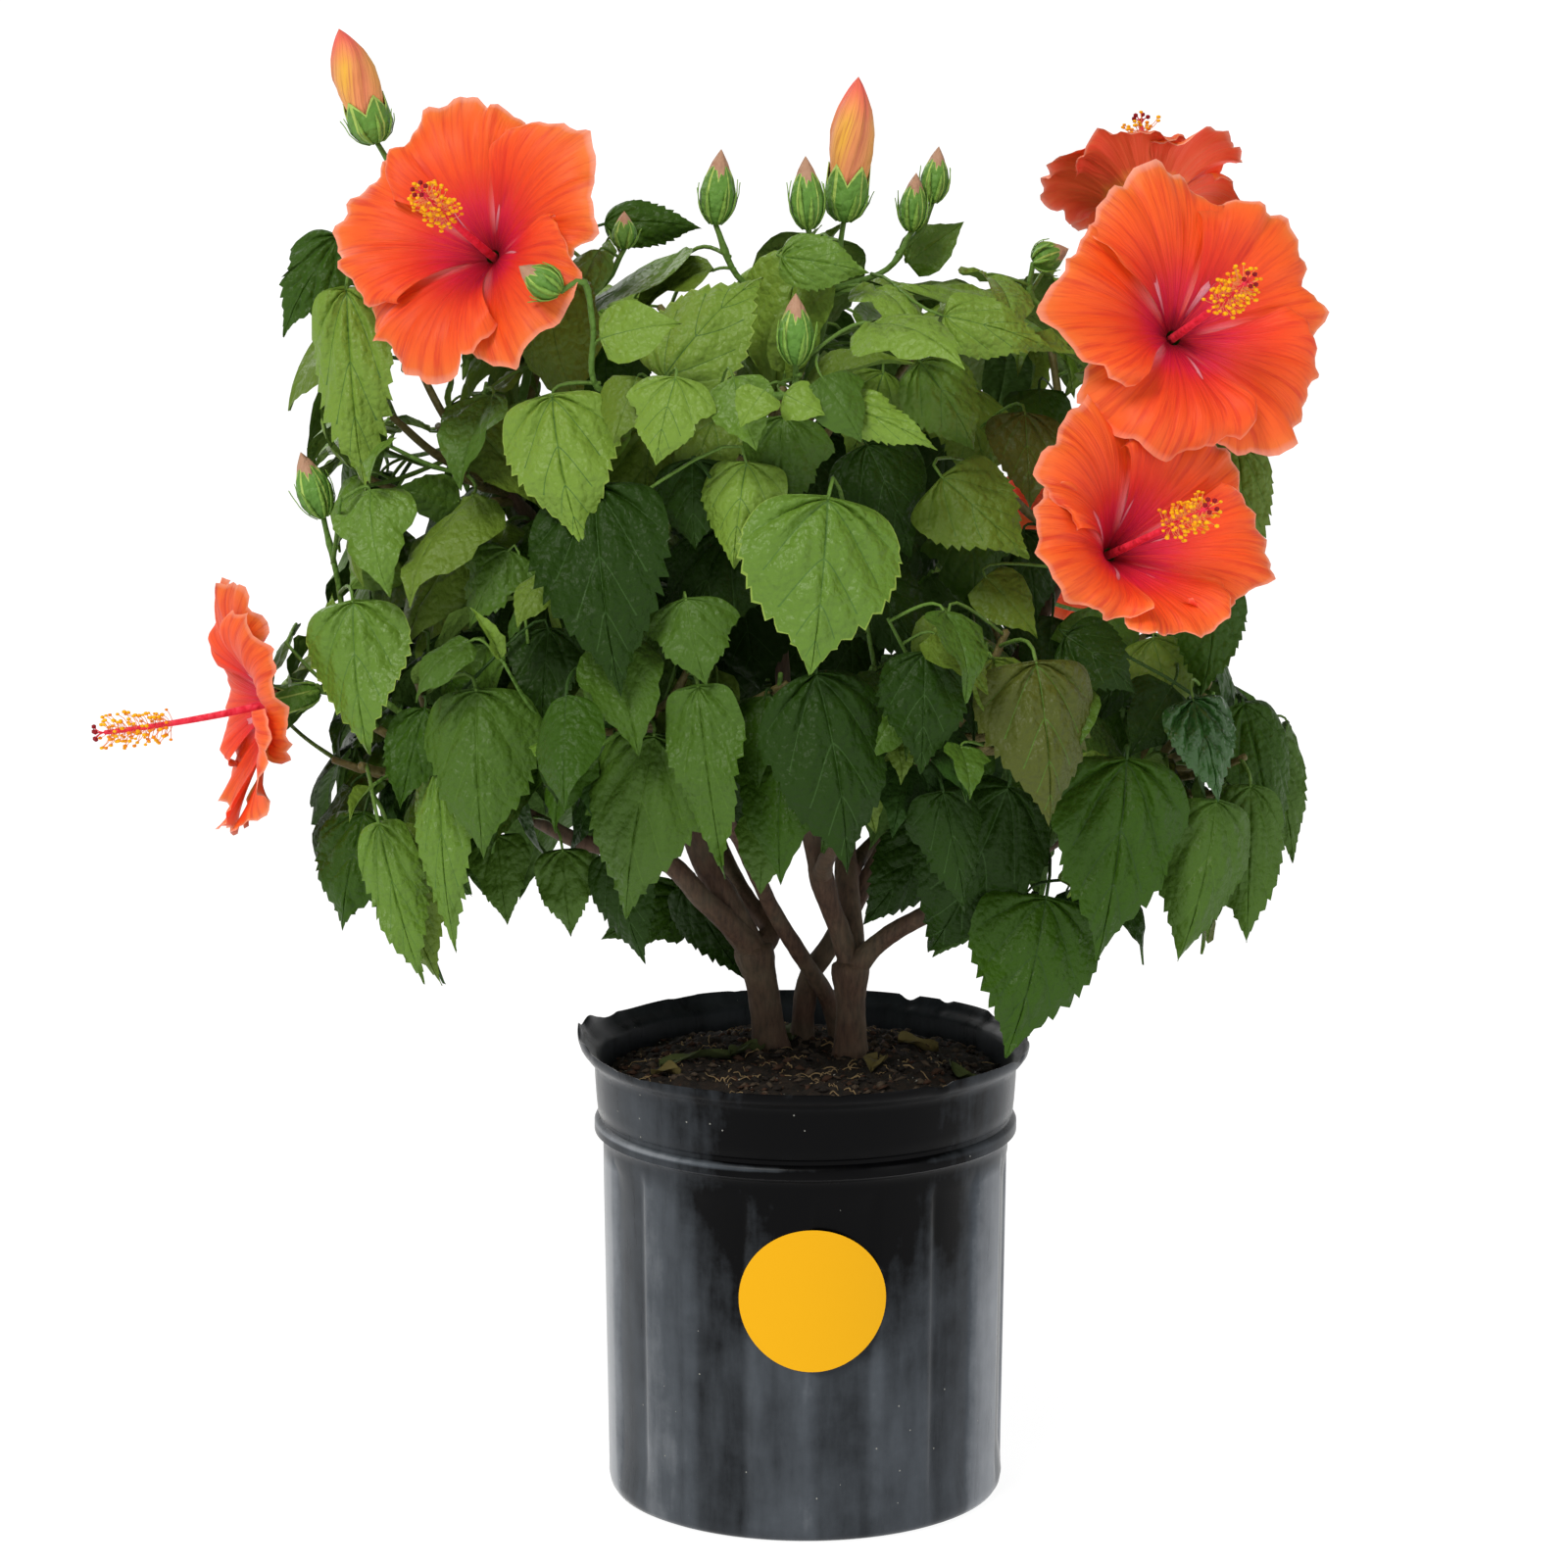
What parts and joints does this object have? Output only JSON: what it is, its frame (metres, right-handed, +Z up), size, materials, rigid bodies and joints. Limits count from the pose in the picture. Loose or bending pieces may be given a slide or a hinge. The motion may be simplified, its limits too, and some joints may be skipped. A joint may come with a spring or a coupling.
{
  "type": "potted hibiscus shrub",
  "caption": "Bushy hibiscus shrub with orange-red open flowers and tall buds, several woody stems and drooping toothed leaves, standing in its fluted black nursery pot.",
  "frame": {"origin": "middle of the pot's flat underside", "axes": "+Z up along the pot, -Y towards the side that the picture shows, +X to that view's right"},
  "size_m": [0.6953, 0.5405, 0.848],
  "materials": {
    "pot": "satin",
    "soil": "matte",
    "bark": "matte",
    "foliage": "satin"
  },
  "bodies": {
    "root": {"pot": "pot", "soil": "soil", "left_trunk": "bark", "right_trunk": "bark", "right_crossing_stem": "bark", "left_crossing_stem": "bark", "left_upper_bough": "bark", "left_low_bough": "bark", "back_left_bough": "bark", "middle_bough": "bark", "back_bough": "bark", "right_low_bough": "bark", "front_right_bough": "bark", "back_right_bough": "bark", "left_low_foliage": "foliage", "left_top_foliage": "foliage", "front_left_foliage": "foliage", "middle_top_foliage": "foliage", "front_right_foliage": "foliage", "right_top_foliage": "foliage", "right_low_foliage": "foliage", "back_left_foliage": "foliage", "back_right_foliage": "foliage", "back_top_foliage": "foliage"}
  },
  "joints": []
}
